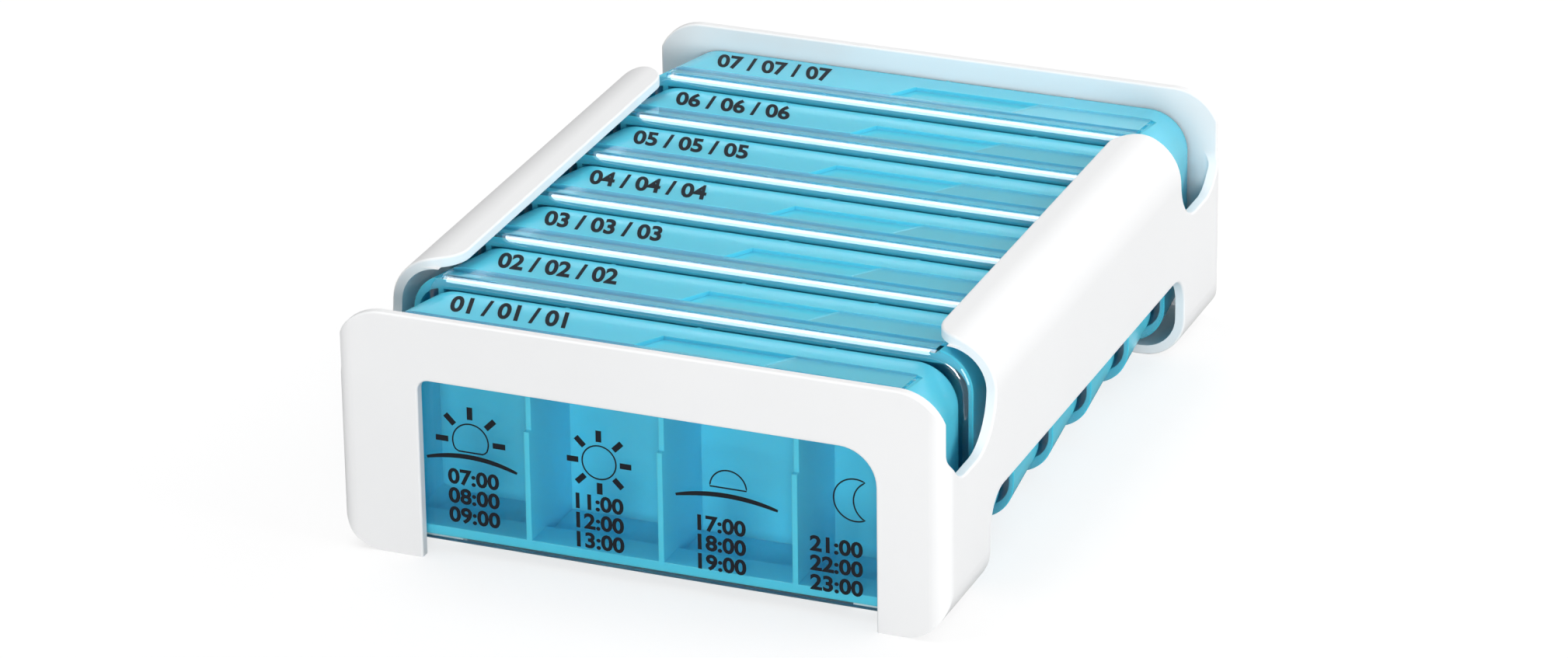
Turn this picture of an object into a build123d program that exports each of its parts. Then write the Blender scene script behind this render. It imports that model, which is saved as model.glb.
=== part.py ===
"""Weekly pill organizer: a moulded frame that holds seven day boxes in a row.

Each day box is a tray with four compartments, open at its front, and a clear
cover that hooks over the tray's top and bottom edges and slides to the left.
X runs along the boxes, Y from front to back, Z up. The origin is the middle of
the footprint, on the surface that the frame stands on. Sizes are millimetres.
"""

import os

from build123d import *

# The seven boxes, from front to back
days = ("monday", "tuesday", "wednesday", "thursday", "friday", "saturday", "sunday")

# Frame
frame_width = 134.4
frame_height = 54.2
frame_wall = 2.2
plan_radius = 4.0
shoulder_radius = 10.8
foot_radius = 9.8
lip_reach = 12.2
lip_corner = 8.0
foot_length = 25.6
side_edge_height = 21.1
side_edge_radius = 7.5
edge_radius = 0.5
rail_width = 8.5
rail_setback = 9.2

# Window in the front panel, between two legs
left_leg = 18.6
right_leg = 15.2
window_top = 40.2
window_left_radius = 2.5
window_right_radius = 8.0

# Finger notches at the four corners, measured from the nearer panel's outer face
notch_shoulder = 39.0
notch_low = 33.0
notch_near = 8.2
notch_far = 28.8
notch_near_radius = 8.0
notch_far_radius = 11.0
notch_shoulder_radius = 4.0

# Day boxes
side_clearance = 2.8
box_height = 48.7
box_depth = 23.6
box_gap = 0.6
rail_clearance = 0.3
corner_radius = 9.0
end_taper = 2.4
top_taper = 2.4
tray_wall = 1.2

# Compartments
compartments = 4
compartment_shift = 3.2
divider_wall = 1.2
divider_step = 1.2
divider_step_height = 27.0

# Clear cover
cover_wall = 1.4
flange_wall = 1.0
cover_clearance = 0.3
slide_clearance = 0.2
cover_round = 2.2
cover_inset = 3.6
cover_left_radius = 4.5
flange_inset = 6.7
stop_inset = 7.2
stop_gap = 0.8
flange_depth = 7.7
bead_width = 1.2
bead_height = 0.6
tab_wall = 0.7
tab_length = 30.2
tab_slant = 4.0
tab_depth = 15.8
recess_length = 59.6
recess_slant = 3.2
recess_floor = 0.9

# Spacer bumps on a tray's rear top edge
bump_width = 1.4
bump_height = 0.35
bump_drop = 1.6

# Sizes that follow
pitch = box_depth + box_gap
bay_depth = len(days) * pitch + box_gap
frame_depth = bay_depth + 2 * frame_wall
bay_width = frame_width - 2 * frame_wall
front_face = -frame_depth / 2
lip_edge = bay_width / 2 - lip_reach
window_left = left_leg - frame_width / 2
window_right = frame_width / 2 - right_leg
rail_outer_edge = window_right
box_width = bay_width - 2 * side_clearance
right_end = box_width / 2
compartment_pitch = (box_width - 2 * compartment_shift) / compartments
cover_left = cover_inset - right_end
flange_left = flange_inset - right_end
flange_stop = right_end - stop_inset
recess_left = flange_stop - recess_length
box_bottom = frame_wall + rail_clearance
box_top = box_bottom + box_height
tray_front = cover_wall + cover_clearance
tray_depth = box_depth - tray_front
flange_step = flange_wall + slide_clearance
step_depth = flange_depth + slide_clearance
recess_depth = tab_depth + slide_clearance
recess_drop = tab_wall + slide_clearance
top_wall = recess_drop + recess_floor
groove_near = flange_depth - bead_width - slide_clearance
groove_reach = flange_step + bead_height + slide_clearance
rail_wall = groove_reach + tray_wall
flange_right = flange_stop - stop_gap
tab_left = flange_right - tab_length
bead_near = flange_depth - bead_width
divider_places = [compartment_shift + (n - compartments / 2) * compartment_pitch
                  for n in range(compartments)]
outside = 5.0


def top_at(depth):
    """Height of a box's top face at a depth behind the cover's front face."""
    return box_top - top_taper * (depth - tray_front) / tray_depth


def end_at(depth):
    """Half length of a tray at a depth behind the cover's front face."""
    return right_end - end_taper * (depth - tray_front) / tray_depth


def rounded_outline(depth, left, right, low, high, radii):
    """Upright outline, with radii for its corners on the left and the right."""
    with BuildSketch(Plane.XZ.offset(-depth)) as outline:
        with Locations(((left + right) / 2, (low + high) / 2)):
            Rectangle(right - left, high - low)
        fillet(outline.vertices().group_by(Axis.X)[0], radii[0])
        fillet(outline.vertices().group_by(Axis.X)[-1], radii[1])
    return outline.sketch


def tray_section(depth, end_wall=0.0, low_wall=0.0, top_wall=0.0):
    """Outline of a tray at a depth, drawn in by the walls given."""
    half = end_at(depth) - end_wall
    radius = corner_radius - max(end_wall, top_wall)
    return rounded_outline(depth, -half, half, box_bottom + low_wall,
                           top_at(depth) - top_wall, (radius, radius))


def side_strip(near, far, upper, lower):
    """Four-sided profile across the boxes, under one sloping line and over another."""
    with BuildSketch(Plane.YZ) as strip:
        with BuildLine():
            Polyline((near, upper(near)), (far, upper(far)), (far, lower(far)),
                     (near, lower(near)), close=True)
        make_face()
    return strip.sketch


def notch_outline():
    """Finger notch seen from the side, from a panel's inner face to the lip's end."""
    with BuildSketch(Plane.YZ) as outline:
        with BuildLine():
            Polyline((frame_wall, frame_height + outside), (frame_wall, notch_shoulder),
                     (notch_near, notch_low), (notch_far, notch_low),
                     (notch_far, frame_height + outside), close=True)
        make_face()
        fillet(outline.vertices().sort_by_distance((notch_near, notch_low))[0],
               notch_near_radius)
        fillet(outline.vertices().sort_by_distance((notch_far, notch_low))[0],
               notch_far_radius)
        fillet(outline.vertices().sort_by_distance((frame_wall, notch_shoulder))[0],
               notch_shoulder_radius)
    return outline.sketch


# The space inside the frame
with BuildPart() as bay:
    with BuildSketch(Plane.XZ.offset(bay_depth / 2)) as bay_section:
        with Locations((0, frame_height / 2)):
            Rectangle(bay_width, frame_height - 2 * frame_wall)
        fillet(bay_section.vertices().group_by(Axis.Y)[-1], shoulder_radius - frame_wall)
        fillet(bay_section.vertices().group_by(Axis.Y)[0], foot_radius - frame_wall)
    extrude(amount=-bay_depth)
    with BuildSketch(Plane.XY):
        RectangleRounded(bay_width, bay_depth, plan_radius - frame_wall)
    extrude(amount=frame_height, mode=Mode.INTERSECT)

# Frame: two panels, two side walls rolled in at the top, feet and floor rails
with BuildPart() as frame:
    with BuildSketch(Plane.XZ.offset(frame_depth / 2)) as frame_section:
        with Locations((0, frame_height / 2)):
            Rectangle(frame_width, frame_height)
        fillet(frame_section.vertices().group_by(Axis.Y)[-1], shoulder_radius)
        fillet(frame_section.vertices().group_by(Axis.Y)[0], foot_radius)
    extrude(amount=-frame_depth)
    with BuildSketch(Plane.XY):
        RectangleRounded(frame_width, frame_depth, plan_radius)
    extrude(amount=frame_height, mode=Mode.INTERSECT)
    add(bay.part, mode=Mode.SUBTRACT)

    # Opening between the lips, and the one between the floor rails
    with BuildSketch(Plane.XY.offset(frame_height - 2 * frame_wall)):
        Rectangle(2 * lip_edge, bay_depth)
    extrude(amount=3 * frame_wall, mode=Mode.SUBTRACT)
    with BuildSketch(Plane.XY.offset(-frame_wall)):
        Rectangle(2 * (rail_outer_edge - rail_width), bay_depth)
    extrude(amount=3 * frame_wall, mode=Mode.SUBTRACT)

    # Finger notches
    with Locations((0, front_face, 0)):
        notches = extrude(notch_outline(), amount=frame_width, both=True, mode=Mode.PRIVATE)
        add(notches, mode=Mode.SUBTRACT)
    with Locations((0, -front_face, 0)):
        add(mirror(notches, about=Plane.XZ, mode=Mode.PRIVATE), mode=Mode.SUBTRACT)

    # The lips' corners, rounded in plan
    with BuildSketch(Plane.XY.offset(frame_height - frame_wall)):
        for end, inward in ((front_face + notch_far, 1), (-front_face - notch_far, -1)):
            for side in (-1, 1):
                with Locations((side * (lip_edge + lip_corner / 2), end + inward * lip_corner / 2)):
                    Rectangle(lip_corner, lip_corner)
                with Locations((side * (lip_edge + lip_corner), end + inward * lip_corner)):
                    Circle(lip_corner, mode=Mode.SUBTRACT)
    extrude(amount=frame_wall, mode=Mode.SUBTRACT)

    # The rails start behind the window
    with BuildSketch(Plane.XY.offset(-frame_wall)):
        with Locations((0, front_face + (frame_wall + rail_setback) / 2)):
            Rectangle(2 * rail_outer_edge, rail_setback - frame_wall)
    extrude(amount=3 * frame_wall, mode=Mode.SUBTRACT)

    # Open stretch under each side wall, between the feet
    with BuildSketch(Plane.YZ.offset(rail_outer_edge)) as side_opening:
        with Locations((0, (side_edge_height - outside) / 2)):
            Rectangle(frame_depth - 2 * foot_length, side_edge_height + outside)
        fillet(side_opening.vertices().group_by(Axis.Y)[-1], side_edge_radius)
    open_side = extrude(amount=frame_width / 2, mode=Mode.SUBTRACT)
    mirror(open_side, about=Plane.YZ, mode=Mode.SUBTRACT)

    # Window that shows the front box, open at the bottom
    window_height = window_top + outside
    with BuildSketch(Plane.XZ.offset(-front_face)) as window:
        with Locations(((window_left + window_right) / 2, window_top - window_height / 2)):
            Rectangle(window_right - window_left, window_height)
        window_corners = window.vertices().group_by(Axis.Y)[-1].sort_by(Axis.X)
        fillet(window_corners[0], window_left_radius)
        fillet(window.vertices().group_by(Axis.Y)[-1].sort_by(Axis.X)[-1], window_right_radius)
    extrude(amount=-frame_wall, mode=Mode.SUBTRACT)

    # Softened edges. Each one named by a point on it goes on around its opening
    outer_face = frame_width / 2
    for place in ((0, front_face, window_top), (0, front_face, frame_height),
                  (0, -front_face, frame_height), (lip_edge, 0, frame_height),
                  (outer_face, 0, side_edge_height), (-outer_face, 0, side_edge_height)):
        fillet(frame.edges().sort_by_distance(place)[0], edge_radius)

# Compartments of a tray: the front part is lower, under the rails for the cover
with BuildPart() as compartment_space:
    rear_wall = box_depth - tray_wall
    loft([tray_section(tray_front, tray_wall, rail_wall, rail_wall),
          tray_section(rear_wall, tray_wall, rail_wall, rail_wall)], ruled=True)
    loft([tray_section(step_depth + tray_wall, top_wall, tray_wall, top_wall),
          tray_section(rear_wall, top_wall, tray_wall, top_wall)], ruled=True)
    with BuildSketch(Plane.XY):
        for place in divider_places:
            with Locations((place, box_depth / 2)):
                Rectangle(divider_wall, 2 * box_depth)
    extrude(amount=frame_height, mode=Mode.SUBTRACT)
    with BuildSketch(Plane.XZ.offset(-tray_front)):
        with Locations((compartment_shift, (divider_step_height + box_top) / 2)):
            Rectangle((compartments - 1) * compartment_pitch,
                      box_top - divider_step_height - 2 * rail_wall)
    extrude(amount=-divider_step)

# Recess in a tray's top, with a slanted left end
with BuildPart() as recess:
    with BuildSketch(Plane.XY.offset(box_bottom)):
        with BuildLine():
            Polyline((recess_left, groove_near), (recess_left, step_depth),
                     (recess_left + recess_slant, recess_depth), (flange_stop, recess_depth),
                     (flange_stop, groove_near), close=True)
        make_face()
    extrude(amount=frame_height)
    recess_side = side_strip(groove_near, recess_depth, lambda y: top_at(y) + outside,
                             lambda y: top_at(y) - recess_drop)
    extrude(recess_side, amount=frame_width, both=True, mode=Mode.INTERSECT)

# Tray of a day box
with BuildPart() as tray:
    loft([tray_section(tray_front), tray_section(box_depth)], ruled=True)
    add(compartment_space.part, mode=Mode.SUBTRACT)

    # Rails for the cover's flanges along the top and bottom edges, and their grooves
    rail_length = right_end + flange_stop
    top_rail = side_strip(tray_front, step_depth, lambda y: top_at(y) + outside,
                          lambda y: top_at(y) - flange_step)
    top_groove = side_strip(groove_near, step_depth, lambda y: top_at(y),
                            lambda y: top_at(y) - groove_reach)
    low_rail = side_strip(tray_front, step_depth, lambda y: box_bottom + flange_step,
                          lambda y: box_bottom - outside)
    low_groove = side_strip(groove_near, step_depth, lambda y: box_bottom + groove_reach,
                            lambda y: box_bottom)
    for strip in (top_rail, top_groove, low_rail, low_groove):
        with Locations((-right_end, 0, 0)):
            add(extrude(strip, amount=rail_length, mode=Mode.PRIVATE), mode=Mode.SUBTRACT)

    # Shallow recess behind the top rail, where the cover's tab runs
    add(recess.part, mode=Mode.SUBTRACT)

    # Spacer bumps
    with BuildSketch(Plane.XZ.offset(-box_depth)):
        for place in divider_places[1:]:
            with Locations((place, top_at(box_depth) - bump_drop / 2)):
                RectangleRounded(bump_width, bump_drop, bump_width / 3)
    extrude(amount=-bump_height)

# Wide thumb tab along the right part of a cover, with a slanted left end
with BuildPart() as tab:
    with BuildSketch(Plane.XY.offset(box_bottom)):
        with BuildLine():
            Polyline((tab_left, bead_near), (tab_left, flange_depth),
                     (tab_left + tab_slant, tab_depth), (flange_right, tab_depth),
                     (flange_right, bead_near), close=True)
        make_face()
    extrude(amount=frame_height)
    tab_side = side_strip(bead_near, tab_depth, top_at, lambda y: top_at(y) - tab_wall)
    extrude(tab_side, amount=frame_width, both=True, mode=Mode.INTERSECT)

# Clear cover of a day box
with BuildPart() as cover:
    loft([rounded_outline(depth, cover_left, end_at(depth), box_bottom, top_at(depth),
                          (cover_left_radius, corner_radius))
          for depth in (0, flange_depth)], ruled=True)
    fillet(cover.faces().sort_by(Axis.Y)[0].edges(), cover_round)
    hollow = side_strip(cover_wall, flange_depth, lambda y: top_at(y) - flange_wall,
                        lambda y: box_bottom + flange_wall)
    add(extrude(hollow, amount=frame_width, both=True, mode=Mode.PRIVATE), mode=Mode.SUBTRACT)

    # Only the plate goes on past the flanges' ends
    with BuildSketch(Plane.XZ.offset(-cover_wall)):
        with Locations((0, box_top / 2)):
            Rectangle(2 * frame_width, 2 * frame_height)
        with Locations(((flange_left + flange_right) / 2, box_top / 2)):
            Rectangle(flange_right - flange_left, 2 * frame_height, mode=Mode.SUBTRACT)
    extrude(amount=-flange_depth, mode=Mode.SUBTRACT)

    # Beads that run in the tray's grooves, and the wide thumb tab
    top_bead = side_strip(bead_near, flange_depth, lambda y: top_at(y) - flange_wall / 2,
                          lambda y: top_at(y) - flange_wall - bead_height)
    low_bead = side_strip(bead_near, flange_depth,
                          lambda y: box_bottom + flange_wall + bead_height,
                          lambda y: box_bottom + flange_wall / 2)
    for strip in (top_bead, low_bead):
        with Locations((flange_left, 0, 0)):
            add(extrude(strip, amount=flange_right - flange_left, mode=Mode.PRIVATE))
    add(tab.part)

os.makedirs("parts", exist_ok=True)

frame.part.label = "frame"
export_step(frame.part, "parts/frame.step")

for number, day in enumerate(days):
    box_front = front_face + frame_wall + box_gap + number * pitch
    with BuildPart() as day_tray:
        with Locations((0, box_front, 0)):
            add(tray.part)
    day_tray.part.label = "tray_" + day
    export_step(day_tray.part, "parts/tray_" + day + ".step")

    with BuildPart() as day_cover:
        with Locations((0, box_front, 0)):
            add(cover.part)
    day_cover.part.label = "lid_" + day
    export_step(day_cover.part, "parts/lid_" + day + ".step")
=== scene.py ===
"""Looks of the weekly pill organizer: plastics, print, floor, light and camera.

Blender's lengths are metres in the part's own frame: X from the frame's left side to
its right, Y from its front panel to its back one, Z up, and the floor at zero.
Drawings are made flat and in millimetres, with x to the right and y upward.
"""

import math

import bpy
from mathutils import Matrix, Vector


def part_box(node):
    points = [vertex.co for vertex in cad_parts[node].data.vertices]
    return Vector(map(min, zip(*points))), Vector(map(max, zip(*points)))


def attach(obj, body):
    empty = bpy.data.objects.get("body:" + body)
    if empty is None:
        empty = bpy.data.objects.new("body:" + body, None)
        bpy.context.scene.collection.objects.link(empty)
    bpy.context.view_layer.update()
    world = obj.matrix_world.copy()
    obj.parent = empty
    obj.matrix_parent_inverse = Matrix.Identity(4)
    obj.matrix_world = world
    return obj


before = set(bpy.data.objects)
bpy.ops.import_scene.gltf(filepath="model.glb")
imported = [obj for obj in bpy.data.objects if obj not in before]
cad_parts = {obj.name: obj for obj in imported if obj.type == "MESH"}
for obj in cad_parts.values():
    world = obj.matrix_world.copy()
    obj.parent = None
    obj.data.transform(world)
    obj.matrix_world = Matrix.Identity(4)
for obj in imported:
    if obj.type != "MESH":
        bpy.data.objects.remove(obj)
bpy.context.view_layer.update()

MM = 0.001
DAYS = ("monday", "tuesday", "wednesday", "thursday", "friday", "saturday", "sunday")

# Sizes that the part's source gives, in millimetres
BOX_TOP = 51.2
TOP_TAPER = 2.4
TRAY_DEPTH = 21.9


# Node helpers

def new_material(name):
    """A material and its node tree, still empty."""
    material = bpy.data.materials.new(name)
    material.use_nodes = True
    tree = material.node_tree
    tree.nodes.clear()
    return material, tree


def add_node(tree, kind, sockets=None, **settings):
    """A node whose sockets get values, or links where another node's output is given."""
    node = tree.nodes.new("ShaderNode" + kind)
    for setting, value in settings.items():
        setattr(node, setting, value)
    for socket, value in (sockets or {}).items():
        if isinstance(value, bpy.types.NodeSocket):
            tree.links.new(value, node.inputs[socket])
        else:
            node.inputs[socket].default_value = value
    return node


def noise(tree, place, scale, detail):
    return add_node(tree, "TexNoise", {"Vector": place, "Scale": scale, "Detail": detail}).outputs["Fac"]


def ramp(tree, value, start, end, low=0.0, high=1.0):
    """Runs from low to high while the value runs from start to end, and stays level beyond."""
    sockets = {"Value": value, "From Min": start, "From Max": end, "To Min": low, "To Max": high}
    return add_node(tree, "MapRange", sockets).outputs["Result"]


def calculate(tree, operation, *values):
    return add_node(tree, "Math", dict(enumerate(values)), operation=operation).outputs["Value"]


def mix_colours(tree, share, first, second):
    """The first colour where the share is zero, the second where it is one."""
    share_socket, first_socket, second_socket, result_socket = 0, 6, 7, 2
    sockets = {share_socket: share, first_socket: (*first, 1), second_socket: (*second, 1)}
    return add_node(tree, "Mix", sockets, data_type="RGBA").outputs[result_socket]


def mix_shaders(tree, share, first, second):
    """The first shader where the share is zero, the second where it is one."""
    return add_node(tree, "MixShader", {0: share, 1: first, 2: second}).outputs["Shader"]


# Materials

def moulded_plastic(name, colour, shade, roughness, grain, constants, soft_edge=0.0):
    """Plastic as it leaves the mould: a faint change of tone, fine grain and uneven gloss."""
    gloss_spread = 0.04
    grain_depth = 0.04 * MM
    material, tree = new_material(name)
    place = add_node(tree, "TexCoord").outputs["Object"]
    flow = noise(tree, place, scale=14.0, detail=3.0)
    tone = mix_colours(tree, ramp(tree, flow, start=0.3, end=0.7), shade, colour)
    fine = noise(tree, place, scale=1800.0, detail=2.0)
    gloss = ramp(tree, fine, 0.0, 1.0, low=roughness - gloss_spread, high=roughness + gloss_spread)
    bump = add_node(tree, "Bump", {"Strength": grain, "Distance": grain_depth, "Height": fine})
    if soft_edge:
        bevel = add_node(tree, "Bevel", {"Radius": soft_edge}, samples=4)
        tree.links.new(bevel.outputs["Normal"], bump.inputs["Normal"])
    looks = {"Base Color": tone, "Roughness": gloss, "Normal": bump.outputs["Normal"]}
    shader = add_node(tree, "BsdfPrincipled", {**looks, **constants})
    add_node(tree, "OutputMaterial", {"Surface": shader.outputs["BSDF"]})
    return material


def clear_plastic(name, tint):
    """Clear polystyrene. The light on what lies under it passes straight through."""
    material, tree = new_material(name)
    texture = add_node(tree, "TexCoord")
    place = texture.outputs["Object"]
    normal = texture.outputs["Normal"]
    haze = noise(tree, place, scale=60.0, detail=4.0)

    # Flow streaks on faces that look up, which fade out towards the right
    streak_stretch = (30.0, 1100.0, 30.0)
    streak_strength = 0.36
    streak_depth = 0.1 * MM
    tilted, level = 0.97, 0.99
    streaks_end, streaks_full = 24 * MM, 8 * MM
    stretched = add_node(tree, "Mapping", {"Vector": place, "Scale": streak_stretch}, vector_type="POINT")
    streaks = noise(tree, stretched.outputs["Vector"], scale=1.0, detail=3.0)
    upward = add_node(tree, "SeparateXYZ", {"Vector": normal}).outputs["Z"]
    across = add_node(tree, "SeparateXYZ", {"Vector": place}).outputs["X"]
    on_top = ramp(tree, upward, tilted, level, high=streak_strength)
    streaked = calculate(tree, "MULTIPLY", on_top, ramp(tree, across, streaks_end, streaks_full))
    bump = add_node(tree, "Bump", {"Strength": streaked, "Distance": streak_depth, "Height": streaks})
    bumped = bump.outputs["Normal"]

    # Polish on edges. The fourth powers of a normal's parts add up to one on a face that looks
    # along an axis, and to less on a rounded edge.
    face, edge = 0.98, 0.86
    face_polish = 0.15
    streak_polish = 1.5
    squares = add_node(tree, "VectorMath", {0: normal, 1: normal}, operation="MULTIPLY").outputs["Vector"]
    fourths = add_node(tree, "VectorMath", {0: squares, 1: squares}, operation="DOT_PRODUCT")
    on_edges = ramp(tree, fourths.outputs["Value"], face, edge)
    on_faces = calculate(tree, "MULTIPLY_ADD", streaked, streak_polish, face_polish)

    shader = add_node(tree, "BsdfPrincipled", {
        "Base Color": (*tint, 1),
        "Roughness": ramp(tree, haze, 0.0, 1.0, high=0.06),
        "IOR": 1.12,
        "Transmission Weight": 1.0,
        "Coat Weight": calculate(tree, "MAXIMUM", on_edges, on_faces),
        "Coat Roughness": 0.05,
        "Coat IOR": 2.2,
        "Normal": bumped,
        "Coat Normal": bumped,
    })
    passing = add_node(tree, "BsdfTransparent", {"Color": (0.95, 0.985, 0.99, 1)})
    path = add_node(tree, "LightPath").outputs
    straight = calculate(tree, "MAXIMUM", path["Is Shadow Ray"], path["Is Diffuse Ray"])
    surface = mix_shaders(tree, straight, shader.outputs["BSDF"], passing.outputs["BSDF"])
    add_node(tree, "OutputMaterial", {"Surface": surface})
    return material


def ink(name, colour):
    """Screen print: nearly matt, with slightly uneven cover."""
    material, tree = new_material(name)
    place = add_node(tree, "TexCoord").outputs["Object"]
    cover = noise(tree, place, scale=900.0, detail=2.0)
    paler = [1.3 * part for part in colour]
    shader = add_node(tree, "BsdfPrincipled", {
        "Base Color": mix_colours(tree, cover, colour, paler),
        "Roughness": 0.6,
        "Specular IOR Level": 0.15,
    })
    add_node(tree, "OutputMaterial", {"Surface": shader.outputs["BSDF"]})
    return material


white = moulded_plastic(
    "white_plastic",
    colour=(0.93, 0.935, 0.94),
    shade=(0.90, 0.905, 0.91),
    roughness=0.38,
    grain=0.12,
    constants={"IOR": 1.5, "Specular IOR Level": 0.35},
)
blue = moulded_plastic(
    "blue_plastic",
    colour=(0.115, 0.66, 0.89),
    shade=(0.1, 0.64, 0.87),
    roughness=0.2,
    grain=0.06,
    constants={
        "IOR": 1.5,
        "Specular IOR Level": 0.5,
        "Subsurface Weight": 0.35,
        "Subsurface Radius": (0.8 * MM, 3 * MM, 4 * MM),
        "Subsurface Scale": 1.0,
    },
    soft_edge=0.3 * MM,
)
clear = clear_plastic("clear_plastic", tint=(0.88, 0.98, 0.99))
dark_ink = ink("dark_ink", colour=(0.010, 0.012, 0.016))


def dress(node, material):
    """Gives a CAD node its one material."""
    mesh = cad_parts[node].data
    mesh.materials.clear()
    mesh.materials.append(material)


dress("frame", white)
for day in DAYS:
    dress("tray_" + day, blue)
    dress("lid_" + day, clear)


# Shapes of the print

PRINT_THICKNESS = 0.04
HALF_PRINT = PRINT_THICKNESS / 2
OUTLINE_WIDTH = 0.32
RAY_WIDTH = 1.25


def text_slab(words, size, bold):
    """Flat text that starts at the left end of its baseline."""
    curve = bpy.data.curves.new("words", "FONT")
    curve.body = words
    curve.size = size
    curve.offset = bold
    curve.resolution_u = 4
    curve.extrude = HALF_PRINT
    holder = bpy.data.objects.new("words", curve)
    bpy.context.collection.objects.link(holder)
    bpy.context.view_layer.update()
    graph = bpy.context.evaluated_depsgraph_get()
    mesh = bpy.data.meshes.new_from_object(holder.evaluated_get(graph))
    points = [tuple(vertex.co) for vertex in mesh.vertices]
    faces = [tuple(polygon.vertices) for polygon in mesh.polygons]
    bpy.data.objects.remove(holder)
    bpy.data.curves.remove(curve)
    bpy.data.meshes.remove(mesh)
    return points, faces


def slab(outline):
    """Closed slab with a flat outline."""
    count = len(outline)
    points = [(x, y, HALF_PRINT) for x, y in outline] + [(x, y, -HALF_PRINT) for x, y in outline]
    faces = [tuple(range(count)), tuple(range(2 * count - 1, count - 1, -1))]
    for n in range(count):
        after = (n + 1) % count
        faces.append((after, n, n + count, after + count))
    return points, faces


def ribbon(path, widths, closed=False):
    """Closed slab along a path, with a width at each of its points."""
    count = len(path)
    last = count - 1
    points = []
    for n, (x, y) in enumerate(path):
        before = path[n - 1] if closed or n else path[n]
        after = path[(n + 1) % count] if closed or n < last else path[n]
        ahead_x, ahead_y = after[0] - before[0], after[1] - before[1]
        length = math.hypot(ahead_x, ahead_y)
        side_x, side_y = -ahead_y / length * widths[n] / 2, ahead_x / length * widths[n] / 2
        points += [(x + side_x, y + side_y, HALF_PRINT), (x - side_x, y - side_y, HALF_PRINT),
                   (x - side_x, y - side_y, -HALF_PRINT), (x + side_x, y + side_y, -HALF_PRINT)]
    faces = []
    for n in range(count if closed else last):
        here, there = 4 * n, 4 * ((n + 1) % count)
        for corner in range(4):
            beside = (corner + 1) % 4
            faces.append((here + corner, here + beside, there + beside, there + corner))
    if not closed:
        faces += [(3, 2, 1, 0), tuple(4 * last + corner for corner in range(4))]
    return points, faces


def outline_slab(outline):
    """Closed line of an even width."""
    return ribbon(outline, [OUTLINE_WIDTH] * len(outline), closed=True)


def arc(centre, radius, start, end, steps):
    """Points of an arc between two angles in degrees."""
    points = []
    for n in range(steps + 1):
        angle = math.radians(start + (end - start) * n / steps)
        points.append((centre[0] + radius * math.cos(angle), centre[1] + radius * math.sin(angle)))
    return points


def rays(centre, angles, near, far):
    """Bars that point away from a centre, each from the near distance to the far one."""
    half = RAY_WIDTH / 2
    bars = []
    for angle in angles:
        cosine, sine = math.cos(math.radians(angle)), math.sin(math.radians(angle))
        outline = []
        for out, aside in ((near, -half), (far, -half), (far, half), (near, half)):
            x = centre[0] + out * cosine - aside * sine
            y = centre[1] + out * sine + aside * cosine
            outline.append((x, y))
        bars.append(slab(outline))
    return bars


def hill(left, middle, right):
    """Curved line between two ends that thins towards them. Middle is its height halfway."""
    steps = 24
    end_width, swell, fullness = 0.55, 0.5, 0.6
    path, widths = [], []
    for n in range(steps + 1):
        share = n / steps
        rise = 4 * share * (1 - share)
        x = left[0] + (right[0] - left[0]) * share
        y = left[1] + (right[1] - left[1]) * share + (middle - (left[1] + right[1]) / 2) * rise
        path.append((x, y))
        widths.append(end_width + swell * rise ** fullness)
    return ribbon(path, widths)


# Pictures on the covers, each at its place across and up the organizer

def low_sun():
    """A sun with rays, cut off flat below with softened corners, above a hill."""
    centre, radius = (-38.2, 26.7), 4.0
    drop = 2.4
    corner_turn = 12
    corner_half, corner_rise = 3.3, 0.35
    base_half = 2.7
    below = math.degrees(math.asin(drop / radius))
    base = centre[1] - drop
    outline = arc(centre, radius, -below + corner_turn, 180 + below - corner_turn, steps=36)
    outline += [(centre[0] - corner_half, base + corner_rise), (centre[0] - base_half, base),
                (centre[0] + base_half, base), (centre[0] + corner_half, base + corner_rise)]
    bars = rays(centre, range(0, 181, 45), near=5.0, far=7.8)
    return [outline_slab(outline), *bars, hill(left=(-48.2, 21.9), middle=23.2, right=(-27.9, 21.2))]


def high_sun():
    """A full sun with rays all round."""
    centre, radius = (-9.5, 26.7), 3.75
    circle = arc(centre, radius, 0, 360, steps=40)[:-1]
    return [outline_slab(circle), *rays(centre, range(0, 360, 45), near=4.6, far=7.15)]


def setting_sun():
    """Half a sun without rays, above a hill."""
    centre, radius = (18.9, 25.5), 4.0
    dome = arc(centre, radius, 0, 180, steps=24)
    return [outline_slab(dome), hill(left=(7.3, 22.4), middle=23.8, right=(29.7, 22.2))]


def moon():
    """A crescent: one circle less another."""
    centre, radius = (46.5, 27.4), 4.7
    other, inner = (50.9, 27.3), 4.8
    gap = math.hypot(other[0] - centre[0], other[1] - centre[1])
    meet = math.degrees(math.acos((radius ** 2 + gap ** 2 - inner ** 2) / (2 * radius * gap)))
    back = math.degrees(math.acos((inner ** 2 + gap ** 2 - radius ** 2) / (2 * inner * gap)))
    outline = arc(centre, radius, meet, 360 - meet, steps=36)
    outline += arc(other, inner, 180 + back, 180 - back, steps=18)[1:-1]
    return [outline_slab(outline)]


# Hours under each picture: their middle, their first baseline and their lines
HOURS = (
    (-37.8, 16.8, ("07:00", "08:00", "09:00")),
    (-9.6, 15.8, ("11:00", "12:00", "13:00")),
    (17.3, 15.3, ("17:00", "18:00", "19:00")),
    (42.3, 14.8, ("21:00", "22:00", "23:00")),
)
HOUR_STEP = 4.35
HOUR_SIZE = 4.7
HOUR_BOLD = 0.15
HOUR_STRETCH = 1.1


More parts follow.
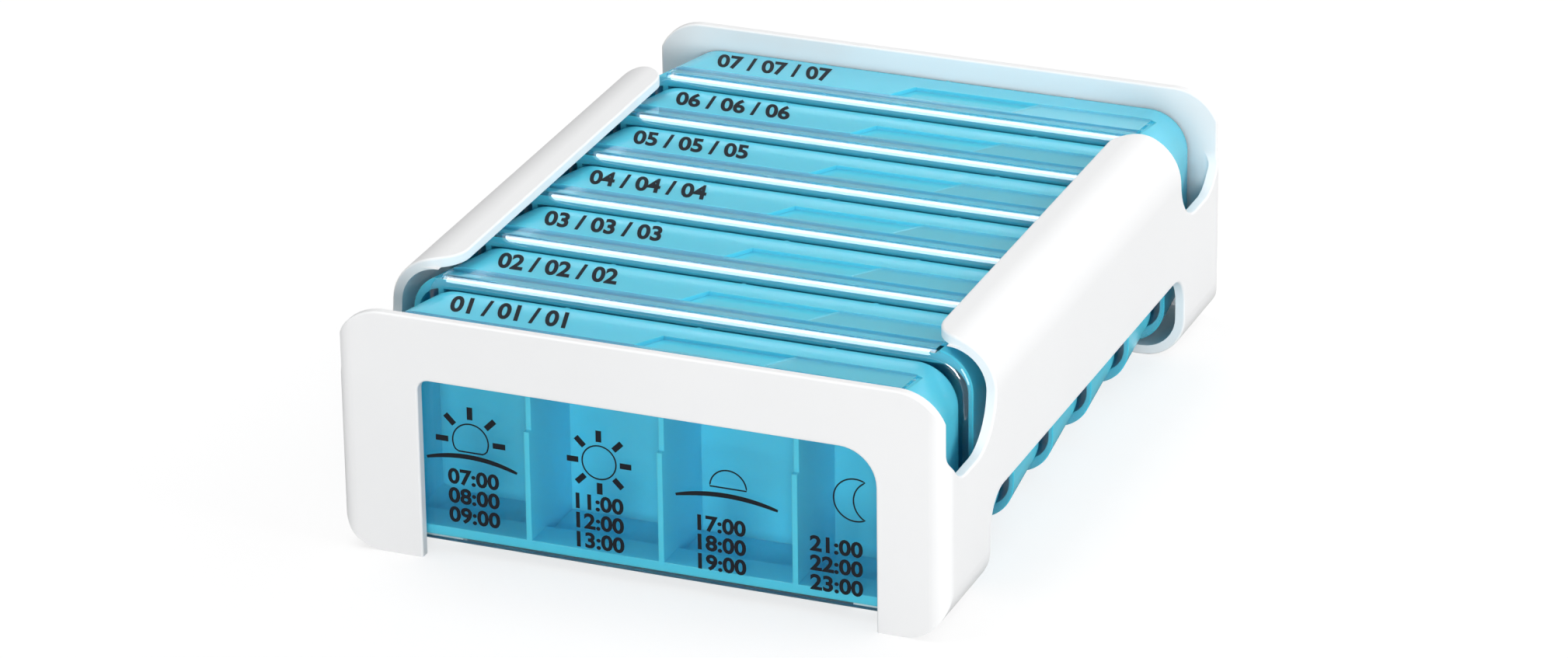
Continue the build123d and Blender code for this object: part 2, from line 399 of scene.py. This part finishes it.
def hours():
    """All lines of hours, each centred under its picture."""
    pieces = []
    for centre, baseline, lines in HOURS:
        for n, words in enumerate(lines):
            points, faces = text_slab(words, HOUR_SIZE, HOUR_BOLD)
            middle = (min(point[0] for point in points) + max(point[0] for point in points)) / 2
            points = [(centre + (x - middle) * HOUR_STRETCH, y + baseline - n * HOUR_STEP, z)
                      for x, y, z in points]
            pieces.append((points, faces))
    return pieces


# Print on its pieces

# The numbers on the trays: their left end, and the depth of their baseline behind the cover's face
NUMBER_LEFT = -47.6
NUMBER_DEPTH = 11.6
NUMBER_SIZE = 13.2
NUMBER_BOLD = 0.42
NUMBER_STRETCH = 0.44
NUMBER_LEAN = -0.33


def front_of(node):
    """A node's foremost place, in millimetres."""
    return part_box(node)[0].y / MM


def on_cover(day):
    """Puts a drawing's points on the front face of the day's cover."""
    front = front_of("lid_" + day)

    def place(point):
        x, y, z = point
        return (x * MM, (front - z - HALF_PRINT) * MM, y * MM)
    return place


def on_tray(day):
    """Puts a drawing's points on the top of the day's tray, which slopes down to the rear."""
    front = front_of("lid_" + day)
    tray_front = front_of("tray_" + day) - front

    def place(point):
        x, y, z = point
        depth = NUMBER_DEPTH + y
        across = NUMBER_LEFT + x * NUMBER_STRETCH + y * NUMBER_LEAN
        height = BOX_TOP - TOP_TAPER / TRAY_DEPTH * (depth - tray_front) + z + HALF_PRINT
        return (across * MM, (front + depth) * MM, height * MM)
    return place


def join(name, pieces, place, body, material):
    """One object from several closed pieces, each point put in its place in the part."""
    points, faces = [], []
    for piece_points, piece_faces in pieces:
        start = len(points)
        points += [place(point) for point in piece_points]
        faces += [tuple(start + n for n in face) for face in piece_faces]
    mesh = bpy.data.meshes.new(name)
    mesh.from_pydata(points, [], faces)
    mesh.update()
    mesh.materials.append(material)
    piece = bpy.data.objects.new(name, mesh)
    bpy.context.collection.objects.link(piece)
    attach(piece, body)


pictures = low_sun() + high_sun() + setting_sun() + moon() + hours()
for number, day in enumerate(DAYS, start=1):
    join("print_lid_" + day, pictures, on_cover(day), "lid_" + day, dark_ink)
    words = text_slab(" / ".join(["%02d" % number] * 3), NUMBER_SIZE, NUMBER_BOLD)
    join("print_tray_" + day, [words], on_tray(day), "box_" + day, dark_ink)


# Floor, light and camera

def studio_floor():
    """Plain floor. The camera sees it nearly white with a faint shadow, reflections see it darker."""
    reach = 6.0
    material, tree = new_material("floor")
    path = add_node(tree, "LightPath").outputs
    tone = mix_colours(tree, path["Is Glossy Ray"], (0.5, 0.5, 0.5), (0.35, 0.35, 0.35))
    paint = add_node(tree, "BsdfDiffuse", {"Color": tone})
    pale = add_node(tree, "BsdfDiffuse", {"Color": (0.3, 0.3, 0.3, 1)})
    glow = add_node(tree, "Emission", {"Color": (1, 1, 1, 1), "Strength": 0.74})
    seen = add_node(tree, "AddShader", {0: pale.outputs["BSDF"], 1: glow.outputs["Emission"]})
    surface = mix_shaders(tree, path["Is Camera Ray"], paint.outputs["BSDF"], seen.outputs["Shader"])
    add_node(tree, "OutputMaterial", {"Surface": surface})
    mesh = bpy.data.meshes.new("floor")
    corners = [(-reach, -reach, 0), (reach, -reach, 0), (reach, reach, 0), (-reach, reach, 0)]
    mesh.from_pydata(corners, [], [(0, 1, 2, 3)])
    mesh.materials.append(material)
    floor = bpy.data.objects.new("floor", mesh)
    bpy.context.collection.objects.link(floor)


def studio_world():
    """Even light all round, which is plain white where it is seen straight or through clear plastic."""
    world = bpy.data.worlds.new("studio")
    bpy.context.scene.world = world
    world.use_nodes = True
    tree = world.node_tree
    tree.nodes.clear()
    light = add_node(tree, "Background", {"Color": (1, 1, 1, 1), "Strength": 0.34})
    backdrop = add_node(tree, "Background", {"Color": (1, 1, 1, 1), "Strength": 1.0})
    path = add_node(tree, "LightPath").outputs
    bounces = calculate(tree, "ADD", path["Diffuse Depth"], path["Glossy Depth"])
    unbounced = calculate(tree, "LESS_THAN", bounces, 0.5)
    through = calculate(tree, "MULTIPLY", path["Is Transmission Ray"], unbounced)
    seen = calculate(tree, "MAXIMUM", path["Is Camera Ray"], through)
    surface = mix_shaders(tree, seen, light.outputs["Background"], backdrop.outputs["Background"])
    add_node(tree, "OutputWorld", {"Surface": surface})


def lamp(name, place, size, power, upward=(0, 0, 1)):
    """Rectangular lamp that faces the part, with its second side along the upward direction."""
    data = bpy.data.lights.new(name, "AREA")
    data.shape = "RECTANGLE"
    data.size, data.size_y = size
    data.energy = power
    light = bpy.data.objects.new(name, data)
    bpy.context.collection.objects.link(light)
    back = Vector(place).normalized()
    right = Vector(upward).cross(back).normalized()
    turn = Matrix((right, back.cross(right), back)).transposed()
    light.matrix_world = Matrix.Translation(place) @ turn.to_4x4()
    return light


# The photograph's camera, fitted to points of the object: degrees, metres, pixels
AZIMUTH = 22.085
ELEVATION = 23.855
ROLL = -0.76
CAMERA_PLACE = (0.486094, -1.204661, 0.597355)
FOCAL_LENGTH = 8533.5
IMAGE_WIDTH = 2018


def camera():
    azimuth, elevation, roll = (math.radians(angle) for angle in (AZIMUTH, ELEVATION, ROLL))
    back = Vector((math.sin(azimuth) * math.cos(elevation), -math.cos(azimuth) * math.cos(elevation),
                   math.sin(elevation)))
    level = Vector((0, 0, 1)).cross(back).normalized()
    upright = back.cross(level)
    right = math.cos(roll) * level + math.sin(roll) * upright
    up = -math.sin(roll) * level + math.cos(roll) * upright
    data = bpy.data.cameras.new("camera")
    data.sensor_width = 36.0
    data.sensor_fit = "HORIZONTAL"
    data.lens = FOCAL_LENGTH / IMAGE_WIDTH * data.sensor_width
    data.clip_start = 0.05
    data.clip_end = 20.0
    holder = bpy.data.objects.new("camera", data)
    bpy.context.collection.objects.link(holder)
    turn = Matrix((right, up, back)).transposed()
    holder.matrix_world = Matrix.Translation(CAMERA_PLACE) @ turn.to_4x4()
    bpy.context.scene.camera = holder


studio_floor()
studio_world()
lamp("key", place=(-0.5, 0.0, 1.25), size=(1.0, 0.8), power=7.2)
lamp("side", place=(1.35, 0.1, 0.4), size=(0.9, 0.9), power=9.0)
lamp("front", place=(0.4, -1.4, 0.25), size=(0.5, 0.5), power=11.0)
back_lamp = lamp("back", place=(0.5, 1.3, 0.6), size=(0.8, 0.8), power=9.0)
back_lamp.visible_glossy = False
card = lamp("card", place=(-0.407, -0.4, 1.045), size=(0.27, 1.4), power=4.5, upward=(0, 0.93, 0.36))
card.visible_diffuse = False
camera()

bpy.context.scene.view_settings.view_transform = "Standard"
